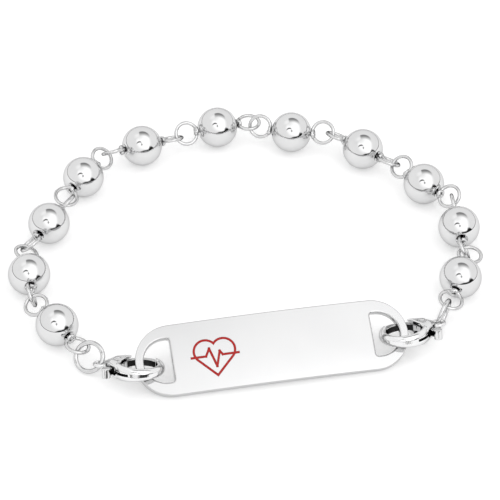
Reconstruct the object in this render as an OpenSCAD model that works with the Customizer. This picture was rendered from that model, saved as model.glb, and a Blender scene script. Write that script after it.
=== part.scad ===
/* [Beads] */
// Diameter of a bead
bead_d = 6; // [5.6:0.1:6.4]
// Diameter of the hole drilled through a bead
bead_bore_d = 1; // [0.9:0.05:1.2]
// Width of the countersunk mouth of that hole
bead_mouth_d = 2; // [1.6:0.1:2.4]

/* [Bead wires] */
// Thickness of the wire that runs through a bead
wire_d = 0.5; // [0.4:0.05:0.55]
// Outside diameter of the eye at each end of the wire
eye_loop_d = 3.7; // [3.5:0.1:3.9]
// Outside diameter of the turn of wire wrapped below an eye
wrap_d = 1.5; // [1.3:0.05:1.7]
// Gap between a bead and the wrapped turn
wire_play = 0.05; // [0.04:0.01:0.1]

/* [Jump rings] */
// Outside diameter of the ring between the chain and a clasp
ring_d = 4.6; // [4.5:0.05:4.7]
// Thickness of the jump ring's wire
ring_wire_d = 0.63; // [0.5:0.01:0.7]

/* [Plate] */
// Overall length of the plate
plate_l = 38; // [36:0.5:40]
// Width of the plate
plate_w = 10; // [9:0.5:11]
// Thickness of the plate
plate_t = 1.4; // [1.1:0.1:1.5]
// Radius of the curve that lets the plate follow the wrist
plate_curve_r = 220; // [150:10:400]
// Metal between an end slot and the plate's end
bar_w = 1.15; // [1:0.05:1.3]
// Height of an end slot, across the plate
slot_h = 6.2; // [5.4:0.1:6.6]
// Length of an end slot, along the plate
slot_l = 3.85; // [3.6:0.05:4.4]
// Radius of the slot's corners on its straight side
slot_corner_r = 0.4; // [0.2:0.05:0.6]

/* [Emblem] */
// Side of the square that the heart is drawn on
heart_side = 3.5; // [3:0.1:4]
// Width of the enamel line
line_w = 0.3; // [0.2:0.05:0.4]
// Depth of the engraved channel
channel_depth = 0.25; // [0.15:0.05:0.35]
// Gap between the enamel and the sides and floor of its channel
enamel_play = 0.02; // [0.01:0.01:0.04]
// Place of the emblem along the plate, from its middle
emblem_x = -8.1; // [-9.5:0.1:9.5]
// Place of the emblem up the plate, from its middle
emblem_y = -0.4; // [-0.8:0.1:0.8]

/* [Clasps] */
// Overall length of a clasp with its eye
clasp_l = 10.4; // [10:0.1:10.8]
// Width of a clasp, without its thumb tab
claw_w = 7; // [6.6:0.1:7.4]
// Thickness of a clasp at its cheeks
clasp_t = 2.4; // [2.2:0.1:2.8]
// Thickness of a clasp at the tip of its hook
tip_t = 1.3; // [1.1:0.1:1.6]
// Width of the hook's bow
hook_w = 1.1; // [0.9:0.05:1.2]
// Diameter of the clasp's eye
clasp_eye_d = 2.3; // [2.1:0.1:2.6]
// Thickness of the round metal of the clasp's eye
clasp_eye_t = 0.55; // [0.5:0.01:0.6]
// Thickness of the lever
lever_t = 0.9; // [0.7:0.05:1]
// Width of the lever's arm
lever_w = 0.9; // [0.7:0.05:1]
// Gap between the lever and the clasp
lever_play = 0.1; // [0.08:0.01:0.14]
// Diameter of the rivet
rivet_d = 0.8; // [0.6:0.05:0.9]
// Gap round the rivet
rivet_play = 0.03; // [0.02:0.01:0.06]
// How far the rivet stands out of each cheek
rivet_proud = 0.05; // [0.02:0.01:0.1]
// Metal of the cheeks in front of the rivet
cheek_wall = 0.64; // [0.54:0.02:0.74]
// How far the thumb tab stands out of the clasp
tab_out = 1.1; // [0.8:0.1:1.3]

/* [Hidden] */
$fn = 48;

// Route of the chain, one row for each bead, clockwise from the left clasp:
// the bead's centre x and y, the heading and tilt of its wire,
// then the roll and the lean of the wire's first and second eye
route = [
    [-26.15, -17.70,  128,  5,  14,   0, -22,   5],
    [-30.65,  -6.90,   98, -2,  73,   5,  20,   0],
    [-28.45,   4.40,   62,  2, -41,   5, -53,   5],
    [-23.95,  15.10,   58,  3,  17, -10,  41,   0],
    [-15.55,  22.60,   26, -5, -40, -15, -30,   0],
    [ -4.35,  27.10,   16,  0,  49,  -5,   2,  -5],
    [  6.75,  25.90,  -13,  3,  65,  15,  47,  15],
    [ 17.35,  21.80,  -40,  1, -32,   0, -32,   0],
    [ 26.05,  13.50,  -46,  0,  42,  15,  40,  15],
    [ 30.65,   3.60,  -85,  0, -75,   0, -65,   0],
    [ 30.25,  -7.60, -109, -3,  -5,   0, -15,   0]
];
ROUTE_X = 0;
ROUTE_Y = 1;
ROUTE_HEADING = 2;
ROUTE_TILT = 3;
ROUTE_FIRST_ROLL = 4;
ROUTE_FIRST_LEAN = 5;
ROUTE_SECOND_ROLL = 6;
ROUTE_SECOND_LEAN = 7;

// How the plate lies: the middle of its lower edge on the surface, its lean and its turn
plate_foot = [4.35, -26.6, 0];
plate_lean = 32;
plate_turn = 10.7;

// How each clasp hangs on the plate, one row for each side: side of the plate,
// how far up the plate's width it grips, where the bar passes through the bow,
// along and across from the bow's centre, then the clasp's heading, tilt and roll
LEFT = 0;
RIGHT = 1;
hang = [
    [-1, -0.4,  0.1, 0.1, -21, 10, -22],
    [ 1, -0.3,  0.1, 0.0, 212,  7, 200]
];
HANG_SIDE = 0;
HANG_UP = 1;
HANG_ALONG = 2;
HANG_ACROSS = 3;
HANG_HEADING = 4;
HANG_TILT = 5;
HANG_ROLL = 6;

// How each jump ring hangs in its clasp's eye, one row for each side:
// where on the ring the eye sits, then the ring's turns about X and Y
ring_hang = [
    [-46,   41, -24],
    [ 80, -156, 100]
];
RING_AT = 0;
RING_TURN_X = 1;
RING_TURN_Y = 2;

// Shares of the clasp's sizes
// Rivet's place towards the mouth, as a share of the hook's width
rivet_lift = 0.3;
// Radius of the neck, as a share of the eye's diameter
neck_share = 0.58;
// Room between the eye's hole and the neck
neck_room = 0.15;
// How far along the bow's hollow the lever's end lies, as a share of its radius
tip_share = 0.78;
// The lever's arm: where its arc starts and how far it runs
arm_from = 40;
arm_sweep = 145;
// Room for the lever behind, in front of and below its hub, as shares of its width
room_back = 1.4;
room_front = 0.95;
room_below = 1.25;
// Width of the link from the lever's hub to its arm, as a share of its width
link_wide = 0.8;
// The thumb tab's pin, as shares of the lever's width and thickness
tab_wide = 1.3;
tab_thick = 1.6;
// The straight sides of the claw start this much inside its round ends
side_share = 0.995;
// The straight stretch of a bead's wire is this much thicker than its bent ends
core_share = 1.02;
// Middle of the heart above its lower tip, as a share of its side
heart_middle = 0.82;
// Corners of the pulse line from the heart's lower tip, x and y as shares of its side
pulse = [
    [-0.92, 0.86], [-0.36, 0.86], [-0.20, 1.16], [0.02, 0.42],
    [ 0.20, 1.02], [ 0.30, 0.86], [ 0.92, 0.86]
];
// How far a cut runs past the metal
past = 1;
// Facets of the largest curves
fine_fn = 360;

// Derived sizes of the clasp, with its eye's centre at the origin and its tip along X
claw_r = claw_w / 2;
claw_x = clasp_l - clasp_eye_d / 2 - claw_r;
bow_inner_r = claw_r - hook_w;
// The lever's room starts at the edge of the eye
rivet_at = [clasp_eye_d / 2 + room_back * lever_w, hook_w * rivet_lift];
cheek_x = rivet_at.x + rivet_d / 2 + cheek_wall;
neck_r = clasp_eye_d * neck_share;
neck_x = clasp_eye_d / 2 - clasp_eye_t + neck_room + neck_r;
// Where the shoulders that slope up from the eye reach the full thickness
shoulder_x = rivet_at.x - rivet_d / 2;
// The lever's end and the hook's tip meet on a circle round the rivet
tip_meet_r = norm([claw_x, 0] - rivet_at) + bow_inner_r * tip_share;

eye_loop_mid_r = (eye_loop_d - wire_d) / 2;
neck_at = bead_d / 2 + wire_d / 2;
mouth_depth = bead_mouth_d / 2;
wrap_mid_r = (wrap_d - wire_d) / 2;
wrap_x = bead_d / 2 + wire_play + wire_d / 2;
ring_mid_r = (ring_d - ring_wire_d) / 2;
slot_flat_x = plate_l / 2 - bar_w - slot_l;
plate_sag = pow(plate_l / 2 - plate_w / 2, 2) / (2 * plate_curve_r);

function turn_x(p, a) = [p.x, p.y * cos(a) - p.z * sin(a), p.y * sin(a) + p.z * cos(a)];
function turn_y(p, a) = [p.x * cos(a) + p.z * sin(a), p.y, p.z * cos(a) - p.x * sin(a)];
function turn_z(p, a) = [p.x * cos(a) - p.y * sin(a), p.x * sin(a) + p.y * cos(a), p.z];
// A point turned about X, then Y, then Z, as rotate() does
function turned(p, angles) = turn_z(turn_y(turn_x(p, angles.x), angles.y), angles.z);

// A point of the flat plate, in the bracelet's frame
function on_plate(p) =
    plate_foot + turned(p + [0, plate_w / 2, plate_t + plate_sag], [plate_lean, 0, plate_turn]);

function hang_turns(row) = [row[HANG_ROLL], -row[HANG_TILT], row[HANG_HEADING]];
// The same point in the clasp's own frame
function bow_point(row) = [claw_x + row[HANG_ALONG], row[HANG_ACROSS], 0];
// The point where the plate's bar passes through a clasp
function grip_point(row) =
    let(r = plate_w / 2 - bar_w / 2, up = row[HANG_UP])
    on_plate([
        row[HANG_SIDE] * (plate_l / 2 - plate_w / 2 + sqrt(r * r - up * up)),
        up,
        -plate_t / 2 - pow(plate_l / 2 - bar_w / 2, 2) / (2 * plate_curve_r)
    ]);
// A point of a clasp, in the bracelet's frame
function on_clasp(row, p) = grip_point(row) + turned(p - bow_point(row), hang_turns(row));

function ring_turns(row) = [row[RING_TURN_X], row[RING_TURN_Y], 0];
// The centre of a jump ring, from its clasp's eye
function ring_centre(side) =
    let(row = ring_hang[side], a = row[RING_AT])
    on_clasp(hang[side], [0, 0, 0])
    - turned(ring_mid_r * [cos(a), sin(a), 0], ring_turns(row));

module torus(mid_r, thick_d) {
    rotate_extrude()
        translate([mid_r, 0])
            circle(d = thick_d);
}

// A steel ball, drilled through for its wire
module bead(row) {
    color("silver")
        translate([row[ROUTE_X], row[ROUTE_Y], bead_d / 2])
            rotate([0, 90 - row[ROUTE_TILT], row[ROUTE_HEADING]])
                difference() {
                    sphere(d = bead_d);
                    cylinder(d = bead_bore_d, h = bead_d + past, center = true);
                    for (end = [0, 180])
                        rotate([end, 0, 0])
                            translate([0, 0, bead_d / 2 - mouth_depth])
                                cylinder(d1 = 0, d2 = 4 * mouth_depth, h = 2 * mouth_depth);
                }
}

// The wire's end: an eye, bent a little to one side, with one turn of wire round its neck
module wire_end(roll, lean) {
    rotate([roll, 0, 0]) {
        translate([neck_at, 0, 0])
            rotate([0, 0, lean])
                translate([eye_loop_mid_r, 0, 0])
                    torus(eye_loop_mid_r, wire_d);
        translate([wrap_x, 0, 0])
            rotate([0, 90, 0])
                torus(wrap_mid_r, wire_d);
    }
}

// A wire through a bead, with an eye at each end
module bead_wire(row) {
    color("gainsboro")
        translate([row[ROUTE_X], row[ROUTE_Y], bead_d / 2])
            rotate([0, -row[ROUTE_TILT], row[ROUTE_HEADING]]) {
                rotate([0, 90, 0])
                    cylinder(d = wire_d * core_share, h = 2 * neck_at, center = true);
                wire_end(row[ROUTE_SECOND_ROLL], row[ROUTE_SECOND_LEAN]);
                mirror([1, 0, 0])
                    wire_end(row[ROUTE_FIRST_ROLL], row[ROUTE_FIRST_LEAN]);
            }
}

module jump_ring(side) {
    color("lightgray")
        translate(ring_centre(side))
            rotate(ring_turns(ring_hang[side]))
                torus(ring_mid_r, ring_wire_d);
}

// Half of an end slot: a D with its straight side towards the plate's middle
module slot_outline() {
    r = slot_h / 2;
    centre_x = slot_flat_x + slot_l - r;
    intersection() {
        translate([centre_x, 0])
            circle(r);
        translate([centre_x - slot_corner_r, -slot_h])
            square([slot_h, 2 * slot_h]);
    }
    translate([slot_flat_x + slot_corner_r, -r])
        square([centre_x - slot_flat_x - slot_corner_r, slot_h]);
    translate([slot_flat_x, -r + slot_corner_r])
        square([2 * slot_corner_r, slot_h - 2 * slot_corner_r]);
    for (side = [-1, 1])
        translate([slot_flat_x + slot_corner_r, side * (r - slot_corner_r)])
            circle(slot_corner_r);
}

module plate_outline() {
    straight = plate_l - plate_w;
    square([straight, plate_w], center = true);
    for (side = [-1, 1])
        translate([side * straight / 2, 0])
            circle(d = plate_w);
}

// The heart drawn inwards by a margin, or outwards by a negative one
module heart(inset) {
    r = heart_side / 2;
    reach = heart_side - inset;
    // Only an inward margin widens the notch between the lobes
    notch = max(inset, 0);
    rotate(45) {
        translate([inset, inset]) {
            square([reach - notch, reach]);
            square([reach, reach - notch]);
        }
        translate([r, heart_side])
            circle(r - inset);
        translate([heart_side, r])
            circle(r - inset);
    }
}

// A short straight line, as of enamel
module stroke(from, to, wide) {
    run = to - from;
    translate(from)
        rotate(atan2(run.y, run.x))
            translate([-wide / 2, -wide / 2])
                square([norm(run) + wide, wide]);
}

// The heart and the pulse line across it, grown by a margin
module emblem_outline(grow) {
    translate([0, -heart_side * heart_middle]) {
        difference() {
            heart(-grow);
            heart(line_w + grow);
        }
        for (i = [1 : len(pulse) - 1])
            stroke(heart_side * pulse[i - 1], heart_side * pulse[i], line_w + 2 * grow);
    }
}

// Puts a piece of the flat plate where the plate lies
module laid() {
    translate(plate_foot)
        rotate([plate_lean, 0, plate_turn])
            translate([0, plate_w / 2, plate_t + plate_sag])
                children();
}

// A flat outline drawn through the plate and past both of its faces
module through_plate(spare) {
    translate([0, 0, -plate_t - 2 * plate_sag - spare])
        linear_extrude(plate_t + 2 * plate_sag + 2 * spare)
            children();
}

// Steel plate, curved to the wrist, with a slot at each end and the emblem's channel
module id_plate() {
    color("whitesmoke")
        laid()
            difference() {
                intersection() {
                    through_plate(past)
                        plate_outline();
                    translate([0, 0, -plate_curve_r])
                        rotate([90, 0, 0])
                            difference() {
                                cylinder(r = plate_curve_r, h = plate_w + past, center = true, $fn = fine_fn);
                                cylinder(r = plate_curve_r - plate_t, h = plate_w + 2 * past, center = true,
                                    $fn = fine_fn);
                            }
                }
                for (turn = [0, 180])
                    rotate([0, 0, turn])
                        through_plate(2 * past)
                            slot_outline();
                emblem_place(channel_depth)
                    linear_extrude(channel_depth + past)
                        emblem_outline(enamel_play);
            }
}

// The emblem's place in the plate's face, a depth below it
module emblem_place(depth) {
    slope = asin(emblem_x / plate_curve_r);
    translate([plate_curve_r * sin(slope), emblem_y, plate_curve_r * (cos(slope) - 1)])
        rotate([0, slope, 0])
            translate([0, 0, -depth])
                children();
}

// Red enamel that fills the channel
module enamel_emblem() {
    color("firebrick")
        laid()
            emblem_place(channel_depth - enamel_play)
                linear_extrude(channel_depth - enamel_play)
                    emblem_outline(0);
}

// Puts a clasp's piece where the clasp hangs on the plate
module hung(side) {
    translate(grip_point(hang[side]))
        rotate(hang_turns(hang[side]))
            translate(-bow_point(hang[side]))
                children();
}

// A teardrop: the round bow and the neck that narrows to the eye
module claw_outline() {
    slope = asin((claw_r - neck_r) / (claw_x - neck_x));
    side = [-sin(slope), cos(slope)];
    bow = [claw_x, 0] + side_share * claw_r * side;
    neck = [neck_x, 0] + side_share * neck_r * side;
    translate([claw_x, 0])
        circle(claw_r);
    translate([neck_x, 0])
        circle(neck_r);
    polygon([neck, bow, [bow.x, -bow.y], [neck.x, -neck.y]]);
}

// Two shallow domes back to back, thickest at the rivet and thin at the tip
module pillow() {
    reach = claw_x + claw_r - rivet_at.x;
    r = reach * reach / (clasp_t - tip_t);
    intersection_for (side = [-1, 1])
        translate([rivet_at.x, 0, side * (r - clasp_t / 2)])
            sphere(r, $fn = fine_fn);
}

// The clasp from its side: it thickens from the eye to the cheeks
module side_outline() {
    eye_side = clasp_eye_t / 2;
    cheek_side = clasp_t / 2;
    polygon([
        [0, -eye_side], [shoulder_x, -cheek_side], [clasp_l, -cheek_side],
        [clasp_l, cheek_side], [shoulder_x, cheek_side], [0, eye_side]
    ]);
}

// The room between the cheeks in which the lever turns
module lever_room() {
    back = rivet_at.x - room_back * lever_w;
    front = rivet_at.x + room_front * lever_w;
    translate([back, rivet_at.y - room_below * lever_w])
        square([claw_x - back, claw_w]);
    translate([back, -claw_w])
        square([front - back, claw_w]);
}

// Cheeks, hook and eye of a clasp, one casting
module clasp_body(side) {
    through = clasp_t + 2 * past;
    color("silver")
        hung(side)
            difference() {
                union() {
                    intersection() {
                        linear_extrude(clasp_t + past, center = true)
                            claw_outline();
                        rotate([90, 0, 0])
                            linear_extrude(claw_w + past, center = true)
                                side_outline();
                        pillow();
                    }
                    torus((clasp_eye_d - clasp_eye_t) / 2, clasp_eye_t);
                }
                // The hollow of the bow, straight at the cheeks
                intersection() {
                    translate([claw_x, 0, 0])
                        cylinder(r = bow_inner_r, h = through, center = true);
                    translate([cheek_x, -claw_w, -through])
                        cube([claw_w, 2 * claw_w, 2 * through]);
                }
                // The mouth, closed by the lever's arm
                intersection() {
                    translate([rivet_at.x, rivet_at.y, 0])
                        cylinder(r = tip_meet_r, h = through, center = true);
                    translate([cheek_x, rivet_at.y, -through])
                        cube([claw_w, claw_w, 2 * through]);
                }
                linear_extrude(lever_t + 2 * lever_play, center = true)
                    lever_room();
                translate([rivet_at.x, rivet_at.y, 0])
                    cylinder(d = rivet_d + 2 * rivet_play, h = through, center = true);
            }
}

// Spring lever: a curved arm that closes the mouth and a thumb tab at the back
module clasp_lever(side) {
    arm_outer_r = claw_r - lever_play / 2;
    tab_y = -claw_r - tab_out + lever_w;
    color("gray")
        hung(side)
            difference() {
                union() {
                    intersection() {
                        translate([claw_x, 0, 0])
                            rotate([0, 0, arm_from])
                                rotate_extrude(angle = arm_sweep)
                                    translate([arm_outer_r - lever_w, -lever_t / 2])
                                        square([lever_w, lever_t]);
                        translate([rivet_at.x, rivet_at.y, 0])
                            cylinder(r = tip_meet_r - lever_play, h = lever_t + past, center = true);
                        translate([rivet_at.x - lever_w / 2, -claw_w, -claw_w])
                            cube(2 * claw_w);
                    }
                    linear_extrude(lever_t, center = true)
                        stroke(rivet_at, [claw_x - arm_outer_r + lever_w / 2, rivet_at.y], link_wide * lever_w);
                    translate([rivet_at.x, rivet_at.y, 0]) {
                        cylinder(r = lever_w, h = lever_t, center = true);
                        translate([-lever_w / 2, tab_y, -lever_t / 2])
                            cube([lever_w, -tab_y, lever_t]);
                        translate([0, tab_y, 0])
                            cylinder(d = tab_wide * lever_w, h = tab_thick * lever_t, center = true);
                    }
                }
                translate([rivet_at.x, rivet_at.y, 0])
                    cylinder(d = rivet_d + 2 * rivet_play, h = lever_t + past, center = true);
            }
}

// The pin that the lever turns on, headed flush with the cheeks
module clasp_rivet(side) {
    color("dimgray")
        hung(side)
            translate([rivet_at.x, rivet_at.y, 0])
                cylinder(d = rivet_d, h = clasp_t + 2 * rivet_proud, center = true);
}

id_plate();
enamel_emblem();
for (i = [0 : len(route) - 1]) {
    number = str(i < 9 ? "0" : "", i + 1);
    bead(route[i]);
    bead_wire(route[i]);
}
jump_ring(LEFT);  // left_jump_ring
clasp_body(LEFT);  // left_clasp_body
clasp_lever(LEFT);  // left_clasp_lever
clasp_rivet(LEFT);  // left_clasp_rivet
jump_ring(RIGHT);  // right_jump_ring
clasp_body(RIGHT);  // right_clasp_body
clasp_lever(RIGHT);  // right_clasp_lever
clasp_rivet(RIGHT);  // right_clasp_rivet
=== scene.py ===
import math

import bmesh
import bpy
from mathutils import Euler, Matrix, Vector


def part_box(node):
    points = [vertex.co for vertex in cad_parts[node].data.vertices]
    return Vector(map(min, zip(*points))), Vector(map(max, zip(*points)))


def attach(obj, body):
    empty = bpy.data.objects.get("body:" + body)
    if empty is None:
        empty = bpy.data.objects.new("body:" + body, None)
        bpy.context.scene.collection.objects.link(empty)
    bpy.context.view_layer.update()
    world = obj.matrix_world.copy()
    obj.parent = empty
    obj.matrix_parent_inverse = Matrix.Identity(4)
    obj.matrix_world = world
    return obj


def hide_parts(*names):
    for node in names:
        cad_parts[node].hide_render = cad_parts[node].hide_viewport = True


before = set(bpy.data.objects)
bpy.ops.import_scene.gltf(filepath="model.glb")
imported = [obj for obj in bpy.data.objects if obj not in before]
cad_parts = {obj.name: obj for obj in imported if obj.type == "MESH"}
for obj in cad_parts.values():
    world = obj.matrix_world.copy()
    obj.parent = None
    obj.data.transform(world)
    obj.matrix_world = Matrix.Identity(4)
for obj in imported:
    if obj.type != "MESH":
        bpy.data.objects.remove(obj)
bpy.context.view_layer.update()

# The camera stands in front of the table and looks down at the middle of the bracelet.
# It has a long portrait lens, as is used for jewellery, with no shift and no blur.
mm = 0.001
looks_at = Vector((0.55, -1.6, 3.0)) * mm
camera_distance = 413.3 * mm
camera_elevation = math.radians(40)
towards_camera = Vector((0, -math.cos(camera_elevation), math.sin(camera_elevation)))
bpy.ops.object.camera_add(
    location=looks_at + camera_distance * towards_camera,
    rotation=(math.pi / 2 - camera_elevation, 0, 0),
)
camera = bpy.context.object
camera.data.sensor_width = 36
camera.data.lens = 208.6
bpy.context.scene.camera = camera
bpy.context.scene.view_settings.view_transform = "Standard"

# The table is a wide sheet of matt opal acrylic that the bracelet lies on.
# It is lit from below too, so that it shows faint shadows only where something touches it.
bpy.ops.object.select_all(action="DESELECT")
bpy.ops.mesh.primitive_plane_add(size=4, location=(0, 0, 0))
table = bpy.context.object
table.name = "table"
acrylic = bpy.data.materials.new("white_acrylic")
acrylic.use_nodes = True
opal = acrylic.node_tree.nodes["Principled BSDF"]
opal.inputs["Base Color"].default_value = (0.8, 0.8, 0.8, 1)
opal.inputs["Roughness"].default_value = 0.9
opal.inputs["Emission Color"].default_value = (1, 1, 1, 1)
opal.inputs["Emission Strength"].default_value = 0.26
table.data.materials.append(acrylic)

# The light tent: pale walls of cloth, a large round softbox in front and above, and a narrow
# dark slit between the cloth and the table, which draws the thin dark lines on polished steel.
wall_light = 1.08
softbox_light = 1.52
lamp_light = 0.5
rear_rim_shade = 0.78
fold_shade = 0.22
arm_shade = 0.95
lens_shade = 0.7
slit_shade = 0.98
slit_h = 0.045
right_gap_h = 0.26
front_gap_h = 0.14
tent = bpy.data.worlds.new("light_tent")
bpy.context.scene.world = tent
tent.use_nodes = True


def tent_node(kind, **settings):
    """A node of the tent's light, with its settings."""
    node = tent.node_tree.nodes.new(kind)
    for name, value in settings.items():
        setattr(node, name, value)
    return node


def tent_math(operation, first, second):
    """A sum on light levels and masks. Each term is a number or another node's output."""
    node = tent_node("ShaderNodeMath", operation=operation)
    for socket, value in zip(node.inputs, (first, second)):
        if isinstance(value, (int, float)):
            socket.default_value = value
        else:
            tent.node_tree.links.new(value, socket)
    return node.outputs[0]


def tent_step(value, low, high):
    """0 below low and 1 above high, with a soft edge between."""
    node = tent_node("ShaderNodeMapRange", interpolation_type="SMOOTHSTEP")
    tent.node_tree.links.new(value, node.inputs["Value"])
    node.inputs["From Min"].default_value = low
    node.inputs["From Max"].default_value = high
    return node.outputs[0]


def tent_spot(at, radius, soft):
    """1 inside a round patch of the tent as it is seen from above, with a soft edge."""
    node = tent_node("ShaderNodeVectorMath", operation="DISTANCE")
    tent.node_tree.links.new(plan.outputs[0], node.inputs[0])
    node.inputs[1].default_value = (*at, 0)
    return tent_math("SUBTRACT", 1, tent_step(node.outputs["Value"], radius - soft, radius + soft))


def where_all(first, *others):
    """1 only where every mask is 1."""
    for other in others:
        first = tent_math("MULTIPLY", first, other)
    return first


def brighter(level, by, mask):
    """The light level with an amount added where the mask is 1."""
    return tent_math("ADD", level, tent_math("MULTIPLY", mask, by))


def dimmed(level, share, mask):
    """The light level with a share of it taken away where the mask is 1."""
    return tent_math("MULTIPLY", level, tent_math("SUBTRACT", 1, tent_math("MULTIPLY", mask, share)))


direction = tent_node("ShaderNodeTexCoord")
split = tent_node("ShaderNodeSeparateXYZ")
plan = tent_node("ShaderNodeCombineXYZ")
tent.node_tree.links.new(direction.outputs["Generated"], split.inputs[0])
right, away, up = split.outputs
tent.node_tree.links.new(right, plan.inputs[0])
tent.node_tree.links.new(away, plan.inputs[1])
# The softbox has a smaller one beside it, to the left and behind
large_box = where_all(tent_spot(at=(0.13, -0.36), radius=0.62, soft=0.15), tent_step(up, low=0.08, high=0.42))
small_box = tent_spot(at=(-0.31, 0.12), radius=0.23, soft=0.19)
softbox = tent_math("MAXIMUM", large_box, small_box)
level = brighter(wall_light, softbox_light - wall_light, softbox)
# Its lamp stands low in front, so that its cloth is brightest there
level = brighter(level, lamp_light, tent_spot(at=(0.42, -0.62), radius=0.22, soft=0.22))
# The softbox's cloth darkens towards its rear rim, and a little where it is folded on the left
rear_rim = where_all(
    tent_spot(at=(0.05, 0.0), radius=0.62, soft=0.05),
    tent_step(away, low=-0.02, high=0.62),
    tent_step(right, low=-0.26, high=-0.16),
)
level = dimmed(level, rear_rim_shade, rear_rim)
level = dimmed(level, fold_shade, tent_spot(at=(-0.22, 0.04), radius=0.3, soft=0.28))
# The camera looks in through a small hole, with its bent arm beside it
arm_at = (-0.25, -0.76)
bent_arm = tent_math(
    "SUBTRACT",
    tent_spot(arm_at, radius=0.33, soft=0.03),
    tent_spot(arm_at, radius=0.21, soft=0.03),
)
level = dimmed(level, arm_shade, where_all(bent_arm, tent_step(away, low=-0.62, high=-0.5)))
level = dimmed(level, lens_shade, tent_spot(at=(0.02, -0.71), radius=0.08, soft=0.03))
# The slit is narrow all round and opens up in front, to the right
slit_height = brighter(slit_h, right_gap_h, tent_spot(at=(0.81, -0.54), radius=0.18, soft=0.12))
slit_height = brighter(slit_height, front_gap_h, tent_spot(at=(0.45, -0.88), radius=0.45, soft=0.25))
above_slit = tent_step(tent_math("DIVIDE", up, slit_height), low=0.6, high=1.25)
level = dimmed(level, slit_shade, tent_math("SUBTRACT", 1, above_slit))
background = tent.node_tree.nodes["Background"]
background.inputs["Color"].default_value = (1, 1, 1, 1)
tent.node_tree.links.new(level, background.inputs["Strength"])

# Beads: solid steel balls, turned and drilled, then tumbled until they are mirrors.
# The drill leaves a countersunk mouth at both ends, where the wire goes in.
chain = [
    # heading, tilt, first roll, first lean, second roll, second lean, in degrees
    (128, 5, 14, 0, -22, 5),
    (98, -2, 73, 5, 20, 0),
    (62, 2, -41, 5, -53, 5),
    (58, 3, 17, -10, 41, 0),
    (26, -5, -40, -15, -30, 0),
    (16, 0, 49, -5, 2, -5),
    (-13, 3, 65, 15, 47, 15),
    (-40, 1, -32, 0, -32, 0),
    (-46, 0, 42, 15, 40, 15),
    (-85, 0, -75, 0, -65, 0),
    (-109, -3, -5, 0, -15, 0),
]
bead_d = 5.99
bead_facets = 64
bore_d = 1.0
mouth_d = 1.74
mouth_worn_r = 0.06
same_place = 0.0001
near_it = 0.01


def taken_up(piece):
    """Selects a piece and nothing else."""
    bpy.ops.object.select_all(action="DESELECT")
    piece.select_set(True)
    bpy.context.view_layer.objects.active = piece


def placed(piece, at, turns):
    """Scales a piece from millimetres, turns it, sets it down at a point and applies that to its mesh."""
    taken_up(piece)
    piece.location = at
    piece.rotation_euler = [math.radians(turn) for turn in turns]
    piece.scale = (mm, mm, mm)
    bpy.ops.object.transform_apply(location=True, rotation=True, scale=True)
    return piece


def copied(piece, name):
    """A copy of a piece, with its own mesh."""
    copy = piece.copy()
    copy.data = piece.data.copy()
    copy.name = name
    bpy.context.collection.objects.link(copy)
    return copy


def middle_of(node):
    """The middle of a CAD node's box at rest."""
    low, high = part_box(node)
    return (low + high) / 2


def pick(piece, kind, wanted):
    """In edit mode, selects only the vertices, edges or faces whose middle passes the test."""
    bpy.ops.mesh.select_mode(type=kind)
    bpy.ops.mesh.select_all(action="DESELECT")
    mesh = bmesh.from_edit_mesh(piece.data)
    if kind == "VERT":
        for vert in mesh.verts:
            vert.select = wanted(vert.co)
    elif kind == "EDGE":
        for edge in mesh.edges:
            edge.select = wanted((edge.verts[0].co + edge.verts[1].co) / 2)
    else:
        for face in mesh.faces:
            face.select = wanted(face.calc_center_median())
    mesh.select_flush_mode()
    bmesh.update_edit_mesh(piece.data)


def marks_group():
    """Fine polishing lines and handling haze, as tone, roughness and height over the surface."""
    group = bpy.data.node_groups.new("polish_marks", "ShaderNodeTree")
    sizes = {"Line Size": 4000.0, "Haze Size": 300.0, "Least Rough": 0.04, "Most Rough": 0.1}
    for name, value in sizes.items():
        socket = group.interface.new_socket(name, in_out="INPUT", socket_type="NodeSocketFloat")
        socket.default_value = value
    for name in ("Tone", "Roughness", "Height"):
        group.interface.new_socket(name, in_out="OUTPUT", socket_type="NodeSocketFloat")
    entry = group.nodes.new("NodeGroupInput")
    leave = group.nodes.new("NodeGroupOutput")
    place = group.nodes.new("ShaderNodeTexCoord")
    stretch = group.nodes.new("ShaderNodeMapping")
    stretch.inputs["Scale"].default_value = (1.0, 0.12, 0.3)
    stretch.inputs["Rotation"].default_value = (0.3, 0.2, 0.5)
    lines = group.nodes.new("ShaderNodeTexNoise")
    lines.inputs["Detail"].default_value = 6
    haze = group.nodes.new("ShaderNodeTexNoise")
    haze.inputs["Detail"].default_value = 3
    both = group.nodes.new("ShaderNodeMath")
    both.operation = "MULTIPLY"
    rough = group.nodes.new("ShaderNodeMapRange")
    rough.inputs["From Min"].default_value = 0.15
    rough.inputs["From Max"].default_value = 0.45
    link = group.links.new
    link(place.outputs["Object"], stretch.inputs["Vector"])
    link(stretch.outputs["Vector"], lines.inputs["Vector"])
    link(place.outputs["Object"], haze.inputs["Vector"])
    link(entry.outputs["Line Size"], lines.inputs["Scale"])
    link(entry.outputs["Haze Size"], haze.inputs["Scale"])
    link(lines.outputs["Fac"], both.inputs[0])
    link(haze.outputs["Fac"], both.inputs[1])
    link(both.outputs[0], rough.inputs["Value"])
    link(entry.outputs["Least Rough"], rough.inputs["To Min"])
    link(entry.outputs["Most Rough"], rough.inputs["To Max"])
    link(rough.outputs["Result"], leave.inputs["Roughness"])
    link(haze.outputs["Fac"], leave.inputs["Tone"])
    link(lines.outputs["Fac"], leave.inputs["Height"])
    return group


polish_marks = marks_group()


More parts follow.
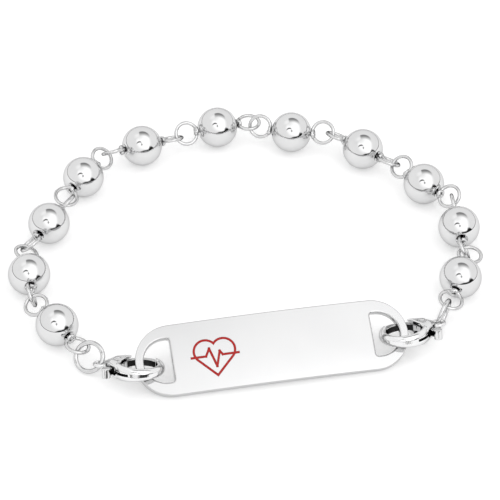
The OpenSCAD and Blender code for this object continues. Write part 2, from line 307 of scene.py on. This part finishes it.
def steel(name, dark, light, edge, line_size, haze_size, rough, depth):
    """Stainless steel with its own polish: a tone between two greys, how much of it is left
    at a grazing angle, a haze and fine lines, and its least and most roughness."""
    made = bpy.data.materials.new(name)
    made.use_nodes = True
    nodes = made.node_tree.nodes
    link = made.node_tree.links.new
    skin = nodes["Principled BSDF"]
    skin.inputs["Metallic"].default_value = 1
    skin.inputs["Specular Tint"].default_value = (edge, edge, edge, 1)
    marks = nodes.new("ShaderNodeGroup")
    marks.node_tree = polish_marks
    marks.inputs["Line Size"].default_value = line_size
    marks.inputs["Haze Size"].default_value = haze_size
    marks.inputs["Least Rough"].default_value = rough[0]
    marks.inputs["Most Rough"].default_value = rough[1]
    tone = nodes.new("ShaderNodeMix")
    tone.data_type = "RGBA"
    tone.inputs["A"].default_value = (*dark, 1)
    tone.inputs["B"].default_value = (*light, 1)
    bump = nodes.new("ShaderNodeBump")
    bump.inputs["Distance"].default_value = depth
    link(marks.outputs["Tone"], tone.inputs["Factor"])
    link(tone.outputs["Result"], skin.inputs["Base Color"])
    link(marks.outputs["Roughness"], skin.inputs["Roughness"])
    link(marks.outputs["Height"], bump.inputs["Height"])
    link(bump.outputs["Normal"], skin.inputs["Normal"])
    return made


ball_steel = steel(
    "ball_steel", dark=(0.65, 0.65, 0.655), light=(0.73, 0.73, 0.73), edge=0.7,
    line_size=5000, haze_size=400, rough=(0.02, 0.06), depth=0.000001)
rim_height = math.sqrt((bead_d / 2) ** 2 - (mouth_d / 2) ** 2)
mouth_depth = (mouth_d - bore_d) / 2
bpy.ops.object.select_all(action="DESELECT")
bpy.ops.mesh.primitive_uv_sphere_add(segments=bead_facets, ring_count=bead_facets, radius=bead_d / 2)
bead = bpy.context.object
bpy.ops.object.mode_set(mode="EDIT")
for end in (1, -1):
    bpy.ops.mesh.select_all(action="SELECT")
    bpy.ops.mesh.bisect(plane_co=(0, 0, end * rim_height), plane_no=(0, 0, end), clear_outer=True)
    pick(bead, "VERT", lambda co: abs(co.z - end * rim_height) < same_place)
    bpy.ops.mesh.extrude_edges_move()
    bpy.ops.transform.resize(value=(bore_d / mouth_d, bore_d / mouth_d, 1))
    bpy.ops.transform.translate(value=(0, 0, -end * mouth_depth))
pick(bead, "VERT", lambda co: co.xy.length < bore_d / 2 + near_it)
bpy.ops.mesh.bridge_edge_loops()
pick(
    bead, "EDGE",
    lambda co: abs(abs(co.z) - rim_height) < same_place and co.xy.length < mouth_d / 2 + near_it)
bpy.ops.mesh.bevel(offset=mouth_worn_r, segments=3, affect="EDGES")
bpy.ops.mesh.select_all(action="SELECT")
bpy.ops.mesh.normals_make_consistent(inside=False)
bpy.ops.object.mode_set(mode="OBJECT")
bpy.ops.object.shade_smooth_by_angle(angle=math.radians(35))
bead.data.materials.append(ball_steel)
for number, (heading, tilt, *_) in enumerate(chain, start=1):
    node = f"bead_{number:02d}"
    ball = placed(copied(bead, f"steel_ball_{number:02d}"), middle_of(node), (0, 90 - tilt, heading))
    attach(ball, "root")
    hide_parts(node)
bpy.data.objects.remove(bead)

# Bead wires: bright drawn stainless wire, one length for each ball. It is bent into a round eye
# past each end of the ball, and what is left over is wound once round its own neck and cut off.
wire_d = 0.5
eye_d = 3.7
neck_bend_r = 0.45
eye_r = (eye_d - wire_d) / 2
neck_x = bead_d / 2 + wire_d / 2
eye_x = neck_x + eye_r
wrap_r = wire_d
wrap_from = 0.2
wrap_to = -0.02
wrap_turns = 1.1
climb_share = 0.14
eye_steps = 44
bend_steps = 8
wrap_steps = 22
weld = 0.0005
drawn_steel = steel(
    "drawn_steel", dark=(0.56, 0.56, 0.565), light=(0.72, 0.72, 0.72), edge=0.04,
    line_size=9000, haze_size=900, rough=(0.04, 0.12), depth=0.000002)


def wire_end(roll, lean):
    """The points of one end of a wire: the bend at the neck, the round eye, and the turn wound back."""
    bend = math.acos(neck_bend_r / (eye_r + neck_bend_r))
    bend_x = eye_x - (eye_r + neck_bend_r) * math.sin(bend)
    points = []
    for step in range(bend_steps + 1):
        turned = bend * step / bend_steps
        aside = -neck_bend_r * (1 - math.cos(turned))
        points.append(Vector((bend_x + neck_bend_r * math.sin(turned), aside, 0)))
    first = -math.pi / 2 - bend
    last = math.pi
    for step in range(1, eye_steps + 1):
        share = step / eye_steps
        around = first + (last - first) * share
        climb = wrap_r * max(0, (share - (1 - climb_share)) / climb_share) ** 2
        points.append(Vector((eye_x + eye_r * math.cos(around), eye_r * math.sin(around), climb)))
    leaned = Matrix.Rotation(math.radians(lean), 3, "Z")
    neck = Vector((neck_x, 0, 0))
    points = [neck + leaned @ (point - neck) if point.x > neck_x - wire_d / 2 else point for point in points]
    for step in range(1, wrap_steps + 1):
        share = step / wrap_steps
        around = 2 * math.pi * wrap_turns * share
        along = neck_x + wrap_from + (wrap_to - wrap_from) * share
        points.append(Vector((along, -wrap_r * math.sin(around), wrap_r * math.cos(around))))
    rolled = Matrix.Rotation(math.radians(roll), 3, "X")
    return [rolled @ point for point in points]


def bent_wire(name, points, thickness):
    """A wire along its points: a curve with a round section, made a mesh."""
    line = bpy.data.curves.new(name, "CURVE")
    line.dimensions = "3D"
    spline = line.splines.new("POLY")
    spline.points.add(len(points) - 1)
    for knot, point in zip(spline.points, points):
        knot.co = (*point, 1)
    line.bevel_depth = thickness / 2
    line.bevel_resolution = 4
    line.use_fill_caps = True
    wire = bpy.data.objects.new(name, line)
    bpy.context.collection.objects.link(wire)
    taken_up(wire)
    bpy.ops.object.convert(target="MESH")
    bpy.ops.object.mode_set(mode="EDIT")
    bpy.ops.mesh.select_all(action="SELECT")
    bpy.ops.mesh.remove_doubles(threshold=weld)
    bpy.ops.mesh.normals_make_consistent(inside=False)
    bpy.ops.object.mode_set(mode="OBJECT")
    bpy.ops.object.shade_smooth_by_angle(angle=math.radians(50))
    return wire


for number, (heading, tilt, first_roll, first_lean, second_roll, second_lean) in enumerate(chain, start=1):
    first_end = [Vector((-point.x, point.y, point.z)) for point in wire_end(first_roll, first_lean)]
    second_end = wire_end(second_roll, second_lean)
    wire = bent_wire(f"eye_wire_{number:02d}", first_end[::-1] + second_end, wire_d)
    wire.data.materials.append(drawn_steel)
    placed(wire, middle_of(f"bead_{number:02d}"), (0, -tilt, heading))
    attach(wire, "root")
    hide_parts(f"bead_wire_{number:02d}")

# Jump rings: one turn of thicker drawn wire, cut off a coil and closed end to end.
# The saw cut stays as a hairline, and each ring joins a clasp's eye to the chain.
ring_d = 4.6
ring_wire_d = 0.63
ring_wire_facets = 20
ring_steps = 96
saw_cut = 0.8
ring_turns = {"left": (41, -24, 0), "right": (-156, 100, 0)}
for side, turns in ring_turns.items():
    bpy.ops.object.select_all(action="DESELECT")
    bpy.ops.mesh.primitive_circle_add(
        vertices=ring_wire_facets, radius=ring_wire_d / 2, fill_type="NGON",
        location=((ring_d - ring_wire_d) / 2, 0, 0), rotation=(math.pi / 2, 0, 0))
    ring = bpy.context.object
    ring.name = f"{side}_link_ring"
    bpy.ops.object.transform_apply(location=True, rotation=True, scale=False)
    bpy.ops.object.mode_set(mode="EDIT")
    bpy.ops.mesh.select_all(action="SELECT")
    bpy.ops.mesh.spin(steps=ring_steps, angle=math.radians(360 - saw_cut), center=(0, 0, 0), axis=(0, 0, 1))
    bpy.ops.mesh.select_all(action="SELECT")
    bpy.ops.mesh.normals_make_consistent(inside=False)
    bpy.ops.object.mode_set(mode="OBJECT")
    bpy.ops.object.shade_smooth_by_angle(angle=math.radians(50))
    ring.data.materials.append(drawn_steel)
    placed(ring, middle_of(f"{side}_jump_ring"), turns)
    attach(ring, "root")
    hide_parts(f"{side}_jump_ring")

# Plate: cut from 1.4 mm stainless sheet with a D-shaped slot at each end, curved to the wrist,
# and polished on a soft wheel, which rounds every edge a little.
plate_l = 38.0
plate_w = 10.0
plate_t = 1.4
plate_curve_r = 220.0
plate_crown_r = 50.0
plate_edge_r = 0.14
slot_edge_r = 0.28
outline_band = 0.1
keen_edge = math.radians(60)
bar_w = 1.15
slot_h = 6.2
slot_l = 3.85
slot_corner_r = 0.4
plate_foot = Vector((4.35, -26.6, 0)) * mm
plate_lean = 32
plate_turn = 10.7
plate_straight = plate_l - plate_w
slot_flat_x = plate_l / 2 - bar_w - slot_l
slot_round_x = slot_flat_x + slot_l - slot_h / 2
plate_sag = (plate_straight / 2) ** 2 / (2 * plate_curve_r)
arc_points = 128
past = 1.0


def cut(piece, operation, tool):
    """Applies a boolean of the tool to the piece, and puts the tool away."""
    taken_up(piece)
    change = piece.modifiers.new("cut", "BOOLEAN")
    change.operation = operation
    change.object = tool
    change.solver = "EXACT"
    change.use_self = True
    bpy.ops.object.modifier_apply(modifier=change.name)
    bpy.data.objects.remove(tool)


def sawn_block(low, high):
    """A block of metal between two corners, in millimetres."""
    bpy.ops.object.select_all(action="DESELECT")
    low = Vector(low)
    high = Vector(high)
    bpy.ops.mesh.primitive_cube_add(size=1, location=(low + high) / 2)
    block = bpy.context.object
    block.scale = high - low
    bpy.ops.object.transform_apply(location=True, rotation=True, scale=True)
    return block


def stamped_disc(radius, low, high, at=(0, 0), points=arc_points):
    """A disc of metal between two heights, in millimetres, with a facet's middle on its x axis."""
    bpy.ops.object.select_all(action="DESELECT")
    bpy.ops.mesh.primitive_cylinder_add(
        vertices=points, radius=radius, depth=high - low,
        location=(at[0], at[1], (low + high) / 2), rotation=(0, 0, math.pi / points))
    disc = bpy.context.object
    bpy.ops.object.transform_apply(location=True, rotation=True, scale=True)
    return disc


plate = stamped_disc(plate_w / 2, -plate_t, 0)
plate.name = "polished_plate"
bpy.ops.object.mode_set(mode="EDIT")
for side in (1, -1):
    pick(plate, "VERT", lambda co: co.x * side > 0)
    bpy.ops.transform.translate(value=(side * plate_straight / 2, 0, 0))
bpy.ops.object.mode_set(mode="OBJECT")
for side in (1, -1):
    round_x = side * slot_round_x
    flat_x = side * slot_flat_x
    slot = stamped_disc(slot_h / 2, -plate_t - past, past, at=(round_x, 0))
    bpy.ops.object.mode_set(mode="EDIT")
    bpy.ops.mesh.select_all(action="SELECT")
    bpy.ops.mesh.bisect(plane_co=(round_x, 0, 0), plane_no=(-side, 0, 0), clear_outer=True, use_fill=True)
    pick(slot, "FACE", lambda co: abs(co.x - round_x) < same_place)
    bpy.ops.mesh.extrude_region_move()
    bpy.ops.transform.translate(value=(-side * (slot_round_x - slot_flat_x), 0, 0))
    pick(slot, "EDGE", lambda co: abs(co.x - flat_x) < same_place and abs(co.z + plate_t / 2) < near_it)
    bpy.ops.mesh.bevel(offset=slot_corner_r, segments=6, affect="EDGES")
    bpy.ops.mesh.select_all(action="SELECT")
    bpy.ops.mesh.normals_make_consistent(inside=False)
    bpy.ops.object.mode_set(mode="OBJECT")
    cut(plate, "DIFFERENCE", slot)
# The wheel reaches round the bars more than along the outline, so the slots' edges are rounder
edges = bmesh.new()
edges.from_mesh(plate.data)
rounding = edges.edges.layers.float.new("bevel_weight_edge")
for edge in edges.edges:
    if edge.calc_face_angle(0) > keen_edge:
        corner = edge.verts[0].co
        off_middle = Vector((max(0, abs(corner.x) - plate_straight / 2), corner.y)).length
        in_slot = off_middle < plate_w / 2 - outline_band
        edge[rounding] = 1 if in_slot else plate_edge_r / slot_edge_r
edges.to_mesh(plate.data)
edges.free()
round_edges = plate.modifiers.new("round_edges", "BEVEL")
round_edges.width = slot_edge_r
round_edges.segments = 5
round_edges.limit_method = "WEIGHT"
bpy.ops.object.modifier_apply(modifier=round_edges.name)

# While the plate is flat, a heart in outline and a pulse line are engraved as a channel for enamel
heart_side = 3.5
heart_middle = 0.82
lobe_points = 64
line_w = 0.3
channel_depth = 0.25
channel_play = 0.02
emblem_at = Vector((-8.1, -0.4, 0))
pulse = [
    # across and up from the heart's point, in sides of the heart
    (-0.92, 0.86), (-0.36, 0.86), (-0.20, 1.16), (0.02, 0.42), (0.20, 1.02), (0.30, 0.86), (0.92, 0.86),
]


def heart_block(inset, low, high):
    """A solid heart, drawn inwards by a margin: two blocks and two discs, then turned point down."""
    reach = heart_side - inset
    notch = max(inset, 0)
    lobe_r = heart_side / 2 - inset
    heart = sawn_block((inset, inset, low), (reach - notch, heart_side, high))
    parts = [
        sawn_block((inset, inset, low), (heart_side, reach - notch, high)),
        stamped_disc(lobe_r, low, high, at=(heart_side / 2, heart_side), points=lobe_points),
        stamped_disc(lobe_r, low, high, at=(heart_side, heart_side / 2), points=lobe_points),
    ]
    for part in parts:
        cut(heart, "UNION", part)
    heart.rotation_euler = (0, 0, math.radians(45))
    bpy.ops.object.transform_apply(location=True, rotation=True, scale=True)
    return heart


def emblem_block(grow, low, high):
    """The heart's line and the pulse line, grown by a margin, as one block at its place on the flat plate."""
    emblem = heart_block(-grow, low, high)
    cut(emblem, "DIFFERENCE", heart_block(line_w + grow, low - past, high + past))
    wide = line_w / 2 + grow
    for (x0, y0), (x1, y1) in zip(pulse, pulse[1:]):
        start = Vector((x0, y0)) * heart_side
        end = Vector((x1, y1)) * heart_side
        stroke = sawn_block((-wide, -wide, low), ((end - start).length + wide, wide, high))
        stroke.rotation_euler = (0, 0, math.atan2(end.y - start.y, end.x - start.x))
        stroke.location = (start.x, start.y, 0)
        bpy.ops.object.transform_apply(location=True, rotation=True, scale=True)
        cut(emblem, "UNION", stroke)
    emblem.location = emblem_at - Vector((0, heart_side * heart_middle, 0))
    taken_up(emblem)
    bpy.ops.object.transform_apply(location=True, rotation=True, scale=True)
    return emblem


cut(plate, "DIFFERENCE", emblem_block(channel_play, -channel_depth, past))

# The plate is crowned and curved over small facets, whose lines are a little off its middle,
# so that none of them runs along an edge that is there already
plate_facet = 0.5
facet_shift_x = 0.013
facet_shift_y = 0.017
sliver = 0.004
level_from = 0.999
rounded_from = 0.05


def crown_share(z):
    """The crown is full on the plate's face and fades to nothing at its flat back."""
    return 1 + z / plate_t


def curved_and_laid(piece):
    """Crowns a flat piece a little, bends it to the plate's curve and lays it where the plate lies."""
    taken_up(piece)
    bpy.ops.object.mode_set(mode="EDIT")
    ways = [
        (plate_l, facet_shift_x, (1, 0, 0)),
        (plate_w, facet_shift_y, (0, 1, 0)),
    ]
    for length, shift, across in ways:
        last = round(length / 2 / plate_facet) - 1
        for step in range(-last, last + 1):
            bpy.ops.mesh.select_all(action="SELECT")
            bpy.ops.mesh.bisect(plane_co=(step * plate_facet + shift) * Vector(across), plane_no=across)
    bpy.ops.mesh.select_all(action="SELECT")
    bpy.ops.mesh.remove_doubles(threshold=sliver)
    bpy.ops.mesh.dissolve_degenerate(threshold=sliver / 2)
    bpy.ops.object.mode_set(mode="OBJECT")
    # The buffed faces shade as the true curve, up to where the rounded edges begin
    mesh = piece.data
    level_corners = set()
    for face in mesh.polygons:
        if abs(face.normal.z) > level_from:
            level_corners.update(face.vertices)
    normals = []
    for face in mesh.polygons:
        for corner in face.vertices:
            x, y, z = mesh.vertices[corner].co
            slope = Vector((x / plate_curve_r, y / plate_crown_r * crown_share(z), 1)).normalized()
            shown = abs(face.normal.z) > rounded_from and corner in level_corners
            normals.append(slope * math.copysign(1, face.normal.z) if shown else Vector())
    for vert in mesh.vertices:
        vert.co.z -= vert.co.y ** 2 / (2 * plate_crown_r) * crown_share(vert.co.z)
        vert.co.z += math.sqrt(plate_curve_r ** 2 - vert.co.x ** 2) - plate_curve_r
        vert.co += Vector((0, plate_w / 2, plate_t + plate_sag))
    bpy.ops.object.shade_smooth_by_angle(angle=math.radians(40))
    mesh.normals_split_custom_set(normals)
    placed(piece, plate_foot, (plate_lean, 0, plate_turn))


curved_and_laid(plate)
plate_steel = steel(
    "plate_steel", dark=(0.575, 0.575, 0.58), light=(0.625, 0.625, 0.625), edge=0.9,
    line_size=2500, haze_size=160, rough=(0.1, 0.18), depth=0.000001)
plate.data.materials.append(plate_steel)
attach(plate, "root")
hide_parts("id_plate")

# Emblem: red enamel, which fills the heart and its pulse line in the plate's channel.
# It is fired and then ground level, so that it lies a hair below the steel.
enamel_drop = 0.01
enamel = emblem_block(0, -channel_depth + channel_play, -enamel_drop)
enamel.name = "red_enamel"
curved_and_laid(enamel)
red_glass = bpy.data.materials.new("red_glass_enamel")
red_glass.use_nodes = True
glass_skin = red_glass.node_tree.nodes["Principled BSDF"]
glass_skin.inputs["Roughness"].default_value = 0.3
glass_skin.inputs["Specular IOR Level"].default_value = 0.2
glass_skin.inputs["Coat Weight"].default_value = 0.15
glass_skin.inputs["Coat Roughness"].default_value = 0.08
grain = red_glass.node_tree.nodes.new("ShaderNodeTexNoise")
grain.inputs["Scale"].default_value = 3000
firing = red_glass.node_tree.nodes.new("ShaderNodeMix")
firing.data_type = "RGBA"
firing.inputs["A"].default_value = (0.29, 0.006, 0.004, 1)
firing.inputs["B"].default_value = (0.46, 0.014, 0.009, 1)
spot = red_glass.node_tree.nodes.new("ShaderNodeTexCoord")
red_glass.node_tree.links.new(spot.outputs["Object"], grain.inputs["Vector"])
red_glass.node_tree.links.new(grain.outputs["Fac"], firing.inputs["Factor"])
red_glass.node_tree.links.new(firing.outputs["Result"], glass_skin.inputs["Base Color"])
enamel.data.materials.append(red_glass)
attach(enamel, "root")
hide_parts("enamel_emblem")

# Clasps: lobster claws, each a stainless investment casting with an eye, two cheeks and a hook.
# They are barrel tumbled, which rounds them and brightens the skin, but leaves it rough in the lever's
# room and inside the bow, where the stones of the barrel don't reach. Those hollows are also painted
# near black, as painted shade.
clasp_turns = {"left": (-22, -10, -21), "right": (200, -7, 212)}
rivet_at = Vector((2.41, 0.33, 0))
# The casting's outline, from its neck to its bow
claw_w = 7.0
bow_at = Vector((5.75, 0))
bow_r = 3.5
bow_hollow_r = 2.4
neck_at = Vector((2.08, 0))
neck_r = 1.33
outline_steps = 12
# The lever's room between the cheeks, and the groove that carries it on
cheek_end_x = 3.45
lever_room_t = 1.1
room_wall = 0.05
groove_w = 0.8
groove_overlap = 0.2
groove_end_x = 5.7
groove_floor = 0.3
groove_points = 64
# How far the barrel domes and rounds it, and where its skin is painted near black as shade
claw_facet = 0.06
claw_passes = 10
dome_reach = 1.1
least_dome = 0.3
hook_below_y = -0.8
painted_shade_room_depth = 0.2
painted_shade_bow_half_w = 0.8
painted_shade_bow_depth = 0.12
cast_steel = steel(
    "cast_steel", dark=(0.72, 0.72, 0.725), light=(0.86, 0.86, 0.86), edge=0.5,
    line_size=2600, haze_size=700, rough=(0.05, 0.14), depth=0.000006)
# Painted shade: a near-black, rough copy of the steel, laid on the clasps' hollows where shade falls
painted_shade_skin = steel(
    "painted_shade_casting_skin", dark=(0.015, 0.015, 0.015), light=(0.05, 0.05, 0.05), edge=0.2,
    line_size=2600, haze_size=900, rough=(0.3, 0.5), depth=0.00001)


def own_frame_copy(node, name, side):
    """A copy of a CAD node's mesh, in millimetres and in the clasp's own frame, its eye at the origin."""
    piece = copied(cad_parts[node], name)
    piece.parent = None
    piece.rotation_mode = "XYZ"
    for key in list(piece.keys()):
        del piece[key]
    taken_up(piece)
    piece.data.materials.clear()
    turns = Euler([math.radians(turn) for turn in clasp_turns[side]]).to_matrix().to_4x4()
    hung = Matrix.Translation(middle_of(f"{side}_clasp_rivet")) @ turns @ Matrix.Scale(mm, 4)
    piece.data.transform(Matrix.Translation(rivet_at) @ hung.inverted())
    bpy.ops.object.mode_set(mode="EDIT")
    bpy.ops.mesh.select_all(action="SELECT")
    bpy.ops.mesh.remove_doubles(threshold=weld)
    bpy.ops.object.mode_set(mode="OBJECT")
    return piece


def one_skin(piece, facet):
    """Gives a casting one even skin of small facets, which can be worn and domed."""
    taken_up(piece)
    skin = piece.modifiers.new("skin", "REMESH")
    skin.mode = "VOXEL"
    skin.voxel_size = facet
    bpy.ops.object.modifier_apply(modifier=skin.name)


def tumbled(piece, passes, side):
    """Wears a casting's edges round and hangs it back at its rivet."""
    taken_up(piece)
    worn = piece.modifiers.new("worn", "SMOOTH")
    worn.factor = 0.5
    worn.iterations = passes
    bpy.ops.object.modifier_apply(modifier=worn.name)
    bpy.ops.object.shade_smooth()
    piece.data.transform(Matrix.Translation(-rivet_at))
    placed(piece, middle_of(f"{side}_clasp_rivet"), clasp_turns[side])


def inside_outline(spot):
    """How far a point lies inside the claw's teardrop outline."""
    depths = []
    for step in range(outline_steps + 1):
        share = step / outline_steps
        centre = neck_at.lerp(bow_at, share)
        depths.append(neck_r + (bow_r - neck_r) * share - (spot.xy - centre).length)
    return max(depths)


def rounded_height(spot):
    """The height of a point of the claw once its faces are domed, from round its edges to full inside."""
    depth = inside_outline(spot)
    reach = dome_reach
    kept = lever_room_t / 2 + room_wall
    if spot.x > cheek_end_x:
        depth = min(depth, max(0, (spot.xy - bow_at).length - bow_hollow_r))
        reach = (bow_r - bow_hollow_r) / 2
    if spot.x > bow_at.x or (spot.x > cheek_end_x and spot.y < hook_below_y):
        kept = 0
    bare = 1 - min(1, max(0, depth) / reach)
    share = least_dome + (1 - least_dome) * math.sqrt(1 - bare * bare)
    above = max(0, abs(spot.z) - kept)
    return math.copysign(abs(spot.z) - above + above * share, spot.z)


def in_painted_shade(spot):
    """Whether a point of the claw is in the lever's room or inside the bow, where shade is painted on."""
    past_neck = spot.x > neck_at.x - neck_r / 2
    in_room = past_neck and abs(spot.z) < lever_room_t / 2 and inside_outline(spot) > painted_shade_room_depth
    in_bow = abs(spot.z) < painted_shade_bow_half_w and (spot.xy - bow_at).length < bow_hollow_r + painted_shade_bow_depth
    return in_room or in_bow


for side in ("left", "right"):
    claw = own_frame_copy(f"{side}_clasp_body", f"{side}_claw", side)
    # The lever's room runs on as a groove along the outside of the bow
    groove_start = (cheek_end_x - groove_overlap, -claw_w, -groove_w / 2)
    groove = sawn_block(groove_start, (groove_end_x, -neck_r, groove_w / 2))
    floor_r = bow_hollow_r + groove_floor
    cut(groove, "DIFFERENCE", stamped_disc(floor_r, -past, past, at=bow_at, points=groove_points))
    cut(claw, "DIFFERENCE", groove)
    one_skin(claw, claw_facet)
    claw.data.materials.append(cast_steel)
    claw.data.materials.append(painted_shade_skin)
    for vert in claw.data.vertices:
        if vert.co.x > neck_at.x - neck_r:
            vert.co.z = rounded_height(vert.co)
    # Faces in the lever's room and inside the bow get the near-black painted shade
    for face in claw.data.polygons:
        face.material_index = int(in_painted_shade(face.center))
    tumbled(claw, claw_passes, side)
    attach(claw, "root")
    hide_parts(f"{side}_clasp_body")

# Levers: stamped from stainless sheet and tumbled, each with a thumb tab. They turn on their rivets
# between the cheeks, and the side of the arm that faces the bow is painted near black as shade too.
lever_facet = 0.045
lever_passes = 12
facing_bow = -0.8
stamped_steel = steel(
    "stamped_steel", dark=(0.64, 0.64, 0.645), light=(0.78, 0.78, 0.78), edge=0.4,
    line_size=3200, haze_size=600, rough=(0.05, 0.14), depth=0.000004)
for side in ("left", "right"):
    lever = own_frame_copy(f"{side}_clasp_lever", f"{side}_thumb_lever", side)
    one_skin(lever, lever_facet)
    lever.data.materials.append(stamped_steel)
    lever.data.materials.append(painted_shade_skin)
    # Faces of the arm that face the bow get the near-black painted shade
    for face in lever.data.polygons:
        outwards = (face.center.xy - bow_at).normalized()
        if face.center.x > cheek_end_x and face.normal.xy.dot(outwards) < facing_bow:
            face.material_index = 1
    tumbled(lever, lever_passes, side)
    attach(lever, f"{side}_lever")
    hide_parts(f"{side}_clasp_lever")

# Rivets: short stainless pins through both cheeks, on which the levers turn.
# Each is peened into a low round head at both ends and polished over.
rivet_d = 0.8
rivet_l = 2.5
rivet_points = 40
head_r = 0.08
for side, turns in clasp_turns.items():
    rivet = stamped_disc(rivet_d / 2, -rivet_l / 2, rivet_l / 2, points=rivet_points)
    rivet.name = f"{side}_pin"
    peened = rivet.modifiers.new("peened", "BEVEL")
    peened.width = head_r
    peened.segments = 3
    peened.limit_method = "ANGLE"
    bpy.ops.object.modifier_apply(modifier=peened.name)
    bpy.ops.object.shade_smooth_by_angle(angle=math.radians(50))
    placed(rivet, middle_of(f"{side}_clasp_rivet"), turns)
    rivet.data.materials.append(stamped_steel)
    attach(rivet, "root")
    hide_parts(f"{side}_clasp_rivet")
